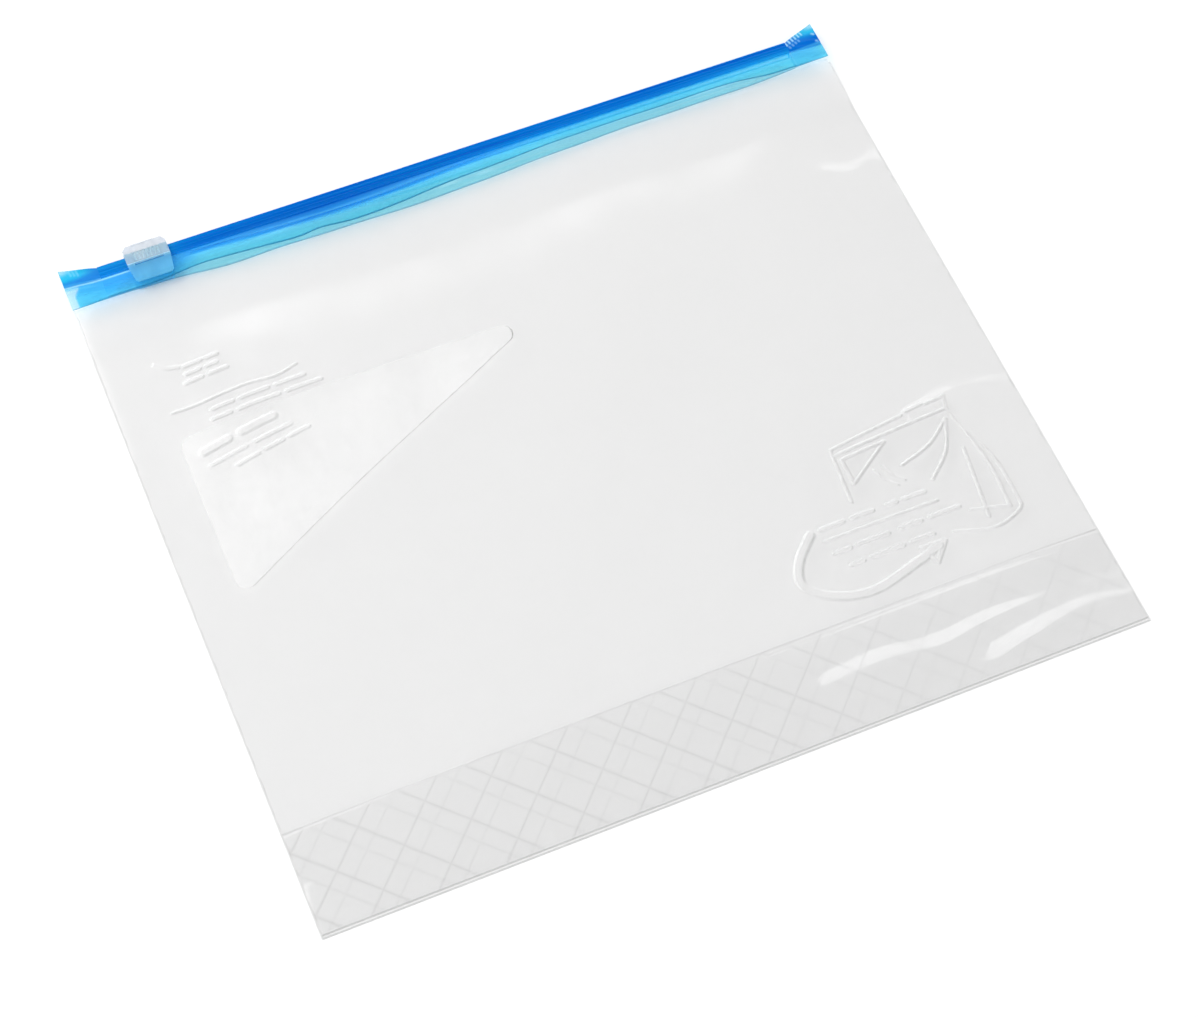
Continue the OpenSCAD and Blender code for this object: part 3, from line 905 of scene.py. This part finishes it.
def rail_outline(grooves):
    """Outline of a rail's cross-section as (h, distance from the zip's middle plane), with grooves in its
    outer face."""
    radius = 0.4
    chamfer = 0.1
    groove_floor = RAIL_Z - 0.05
    half_floor, half_mouth = 0.1, 0.22
    foot = [(RAIL_LOW, INNER_Z), (RAIL_LOW, RAIL_Z - chamfer), (RAIL_LOW + chamfer, RAIL_Z)]
    face = []
    for h in grooves:
        face += [(h - half_mouth, RAIL_Z), (h - half_floor, groove_floor)]
        face += [(h + half_floor, groove_floor), (h + half_mouth, RAIL_Z)]
    corner = [
        (BAG_H - radius + radius * math.sin(a), RAIL_Z - radius + radius * math.cos(a))
        for a in np.linspace(0, math.pi / 2, 6)
    ]
    return [*foot, *face, *corner, (BAG_H, INNER_Z)]


def zip_rail(name, side, lock, pale_foot, replaces):
    """A rail with its half of the lock, which points at the other strip. side is 1 for the front rail, and
    pale_foot is how much of the rail's lower part is pale away from the middle of the zip."""
    outline = rail_outline([RAIL_LOW + up for up in RAIL_GROOVES]) + lock
    rings = np.array([[(x, h, ZIP_MID + side * z) for h, z in outline] for x in steps(-ZIP_END, ZIP_END, 6)])
    x, h = rings[..., 0].ravel(), rings[..., 1].ravel()
    made = loft(name, rings, {"deep": rail_deep(x, h, pale_foot)}, crisp=35)
    return finished(made, RAIL_PLASTIC, "zip_profile", replaces)


def both_ways(half):
    """An outline that is the same above and below the middle of the lock."""
    middle = RAIL_LOW + 2
    return [(middle + h, z) for h, z in half] + [(middle - h, z) for h, z in half[::-1]]


def barbed_rib():
    """The front strip's half of the lock."""
    return both_ways([(0.4, INNER_Z), (0.4, -0.15), (0.75, -0.15), (0.25, -0.75)])


def jaws():
    """The rear strip's half: two jaws that close round the barbs."""
    inside = [(0.8, -0.3), (0.5, -0.1), (0.5, 0.05), (1.0, 0.05), (1.0, INNER_Z)]
    return both_ways([(1.5, INNER_Z), (1.5, -0.3), *inside])


def end_weld(name, side, box, band, clear_from, crimps, replaces):
    """A melted end. Its faces start as those of the zip and close up towards the cut edge, where its top
    flares. band says where the rails' deep blue begins and ends at the cut edge: how far above their foot,
    and how far above their top."""
    ear = box[1][1] - BAG_H
    low_edge = [0, 0.012, 0.024, 0.036]
    up = np.concatenate([low_edge, np.linspace(0.05, 0.5, 14), np.linspace(0.5, 1, 30)[1:]])
    shares, faces = net(steps(0, WELD_L, 0.3) / WELD_L, up)
    if side < 0:
        faces = faces[:, ::-1]
    t, u = shares.T
    melt = smooth(t)
    x = side * (ZIP_END + WELD_L * t)
    low = FRONT_EDGE(x)
    top = BAG_H + ear * t**FLARE
    h = low + u * (top - low)
    places = np.column_stack([x, h])

    rail_low = RAIL_LOW + band[0] * melt
    in_rail = smooth((h - rail_low + 0.25) / (0.5 + 1.4 * melt))
    full = INNER_Z + FLANGE_T + (RAIL_Z - INNER_Z - FLANGE_T) * in_rail
    half = full * (1 - melt) + 0.5 * melt
    rim = np.clip((top - h) / 0.5, 0, 1)
    half = half * (0.35 + 0.65 * np.sqrt(rim))
    half += 0.03 * ripples(x, h, [(1, 14, 2.6, 0.4), (0.6, -9, 4.7, 2.0)]) * smooth(t * 3) * rim
    crimp = np.zeros(h.shape)
    for start, end, strength in crimps:
        off = distance_to(places, np.array([start, end]))
        crimp = np.maximum(crimp, strength * np.clip(1.25 - off / 0.42, 0, 1))
    front = ZIP_MID + half + 0.12 * crimp
    back = ZIP_MID + half - 2 * half * (0.06 + 0.94 * np.sqrt(np.clip((h - low) / 1.2, 0, 1)))

    behind = smooth((h - rail_low - 1.9 * (1 - melt)) / 0.6)
    rail_blue = 1 - 0.2 * left_share(x)
    blues = [share * rail_blue + (1 - share) * flange_deep(x, h) for share in (behind, in_rail)]
    seam = 0.6 * (side > 0) * (t == 0) * (1 - in_rail)
    marks = {
        "deep": np.concatenate(blues),
        # Painted shade: the cut edge looks darker, because light runs along inside it.
        "edge": np.clip(1.3 - (h - low) / 0.25, 0, 1),
        "tip": smooth(t / 0.5) * smooth((h - BAG_H - band[1]) / (0.6 * ear)),
        "clear": np.maximum(clear_from(x, h), seam),
        "pale": np.maximum(crimp, 0.8 * pale_line(x, h - rail_low + RAIL_LOW)),
    }
    made = shell(name, places, faces, back, front - back, marks)
    return finished(made, WELD_PLASTIC, "zip_weld", replaces)


def clear_left(x, h):
    """The flange's colour stops short of the left cut edge, round a corner, and the tip has run clear."""
    rounded = 1.9 * smooth((h - RAIL_LOW + 3.2) / 3.4)
    beside = smooth((-131.2 + rounded - x) / 0.8) * smooth((RAIL_LOW + 0.9 - h) / 0.6)
    tip = 0.6 * smooth((-129 - x) / 4) * smooth((h - RAIL_LOW - 5.4) / 2.4)
    return np.maximum(0.8 * beside, tip)


def clear_right(x, h):
    return 0.55 * smooth((x - 128.5) / 5) * smooth((h - RAIL_LOW - 6.4) / 2.4)


def crimp_bars():
    """The row of short slanted bars that a crimping jaw leaves along the right ear, with a fainter row below.
    Each is (start, end, strength)."""
    made = []
    ear = RIGHT_WELD[1][1] - BAG_H
    for i in range(6):
        x = ZIP_END - 0.1 + 1.35 * i
        top = BAG_H - 0.6 + ear * (max(0, x - ZIP_END) / WELD_L) ** FLARE
        made.append(((x, top), (x + 0.35, top - 1.2), 1.0))
        if i < 4:
            made.append(((x + 0.9, top - 2.0), (x + 1.1, top - 2.5), 0.4))
    dents = [((132.6, 241.6), (133.2, 241.2), 0.9), ((132.9, 238.4), (133.3, 238.1), 0.7)]
    return made + dents


def streaks():
    """Faint upright streaks in the left ear."""
    made = []
    for i in range(3):
        x = -130.9 + 1.1 * i
        made.append(((x, BAG_H + 2.4 - 0.5 * i), (x + 0.3, BAG_H + 0.4 - 0.4 * i), 0.35))
    return made


# ---------- the slider ----------


def dress_slider():
    """The slider keeps its CAD shape, with small moulded radii on its edges."""
    looks = {
        "slider_top_plate": PLATE_PLASTIC,
        "slider_front_wing": WING_PLASTIC,
        "slider_rear_wing": WING_PLASTIC,
        "slider_separator": PLATE_PLASTIC,
    }
    for name, material in looks.items():
        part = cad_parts[name]
        part.data.materials.clear()
        part.data.materials.append(material)
        rounding = part.modifiers.new("moulded_radius", "BEVEL")
        rounding.width = 0.2 * MM
        rounding.segments = 2
        rounding.limit_method = "ANGLE"
        rounding.angle_limit = math.radians(35)


# ---------- the bag ----------

rear_film()
gusset_leaf("gusset_rear_film", 2 * GUSSET_H - GRID_H, 0, "gusset_rear_leaf", 0.4)
gusset_leaf("gusset_front_film", GRID_H, 1, "gusset_front_leaf", 0.75)
front_film()
turned_fold(
    "gusset_fold", GUSSET_H - FOLD_D, FOLD_D, 1, lambda x: leaf_z(x, GUSSET_H - FOLD_D),
    lambda x: PLY + leaf_spread(x, GUSSET_H - FOLD_D), "gusset_inner_fold", GUSSET_FILM, "gusset_film", 0.5,
)
turned_fold(
    "rear_bottom_crease", FOLD_D, FOLD_D, -1, lambda x: 0.0,
    lambda x: PLY, "rear_bottom_fold", MELTED_FILM, "film", 0.25,
)
turned_fold(
    "front_bottom_crease", LEAF_START, FOLD_D, -1, lambda x: 2 * PLY,
    lambda x: PLY, "front_bottom_fold", MELTED_FILM, "film", 0.25,
)
side_bead("left_seal_bead", -1, "left_side_seal")
side_bead("right_seal_bead", 1, "right_side_seal")
write_on_patch()
zip_flange("front_flange", FRONT_EDGE, FRONT_FLANGE[0][2], 0.9, "front_zip_flange")
zip_flange("rear_flange", REAR_EDGE, REAR_FLANGE[0][2], 0.4, "rear_zip_flange")
zip_rail("front_rail", 1, barbed_rib(), 0.1, "front_zip_profile")
zip_rail("rear_rail", -1, jaws(), 2.2, "rear_zip_profile")
end_weld("left_melt", -1, LEFT_WELD, (1.4, -2.5), clear_left, streaks(), "left_end_weld")
end_weld("right_melt", 1, RIGHT_WELD, (0.3, -0.9), clear_right, crimp_bars(), "right_end_weld")
dress_slider()

# ---------- floor, light and camera ----------


def make_floor():
    s = surface("pale_floor")
    tone = s.colour(s.noise(180, 3), grey(0.90), grey(0.915))
    material = s.done(s.add("BsdfDiffuse", {"Color": tone}))
    half = 3.0
    just_below = -0.02 * MM
    mesh = bpy.data.meshes.new("floor")
    round_about = [(-half, -half, 0), (half, -half, 0), (half, half, 0), (-half, half, 0)]
    mesh.from_pydata(round_about, [], [(0, 1, 2, 3)])
    mesh.materials.append(material)
    floor = bpy.data.objects.new("floor", mesh)
    floor.location.z = just_below
    bpy.context.scene.collection.objects.link(floor)


def panel_light(name, azimuth, elevation, distance, size, power, mirrored):
    """A soft square light that looks at the bag. Azimuth is from +Y towards +X. mirrored says whether glossy
    surfaces show it."""
    data = bpy.data.lights.new(name, "AREA")
    data.shape = "SQUARE"
    data.size = size
    data.energy = power
    lamp = bpy.data.objects.new(name, data)
    a, e = math.radians(azimuth), math.radians(elevation)
    out = Vector((math.sin(a) * math.cos(e), math.cos(a) * math.cos(e), math.sin(e)))
    lamp.location = out * distance
    lamp.rotation_mode = "QUATERNION"
    lamp.rotation_quaternion = out.to_track_quat("Z", "Y")
    lamp.visible_glossy = mirrored
    bpy.context.scene.collection.objects.link(lamp)


def studio_world(tent, overhead, near_side):
    """A white light tent with a dark panel overhead, which the flat film and the zip mirror, and a greyer
    near side, which the film mirrors when it is seen from behind."""
    panel = Vector((0.25, 0.15, 0.96)).normalized()
    panel_edge, panel_rim = math.cos(math.radians(28)), math.cos(math.radians(44))
    s = Nodes(bpy.data.worlds.new("studio"))
    direction = s.add("TexCoord", out="Generated")
    towards = s.add("VectorMath", {0: direction, 1: panel}, out="Value", operation="DOT_PRODUCT")
    above = s.spread(towards, panel_rim, panel_edge, tent, overhead, interpolation_type="SMOOTHSTEP")
    beyond = s.add("SeparateXYZ", {0: direction}, out="Y")
    strength = s.math("MULTIPLY", above, s.spread(beyond, -0.8, -0.5, near_side, 1))
    light = s.add("Background", {"Color": WHITE, "Strength": strength})
    bpy.context.scene.world = s.done(light, "World")


def make_camera():
    """Looks down at the bag from its lower left, as its owner would."""
    target = Vector((-6.1, -23.1, 0)) * MM
    distance, azimuth, elevation, roll = 872 * MM, 25.1, 60.57, 2.42
    a, e = math.radians(azimuth), math.radians(elevation)
    ahead = Vector((math.sin(a) * math.cos(e), math.cos(a) * math.cos(e), -math.sin(e)))
    data = bpy.data.cameras.new("camera")
    data.lens = 84.68
    data.sensor_width = 36
    camera = bpy.data.objects.new("camera", data)
    turn = ahead.to_track_quat("-Z", "Y").to_matrix() @ Matrix.Rotation(math.radians(roll), 3, "Z")
    camera.matrix_world = Matrix.Translation(target - ahead * distance) @ turn.to_4x4()
    bpy.context.scene.collection.objects.link(camera)
    bpy.context.scene.camera = camera


make_floor()
studio_world(1.6, 0.1, 0.3)
panel_light("key", -60, 55, 1.2, 0.45, 4.4, False)
panel_light("glint", 112, 64.5, 1.6, 0.42, 1.3, True)
make_camera()
scene = bpy.context.scene
scene.view_settings.view_transform = "Standard"
scene.cycles.transparent_max_bounces = 32
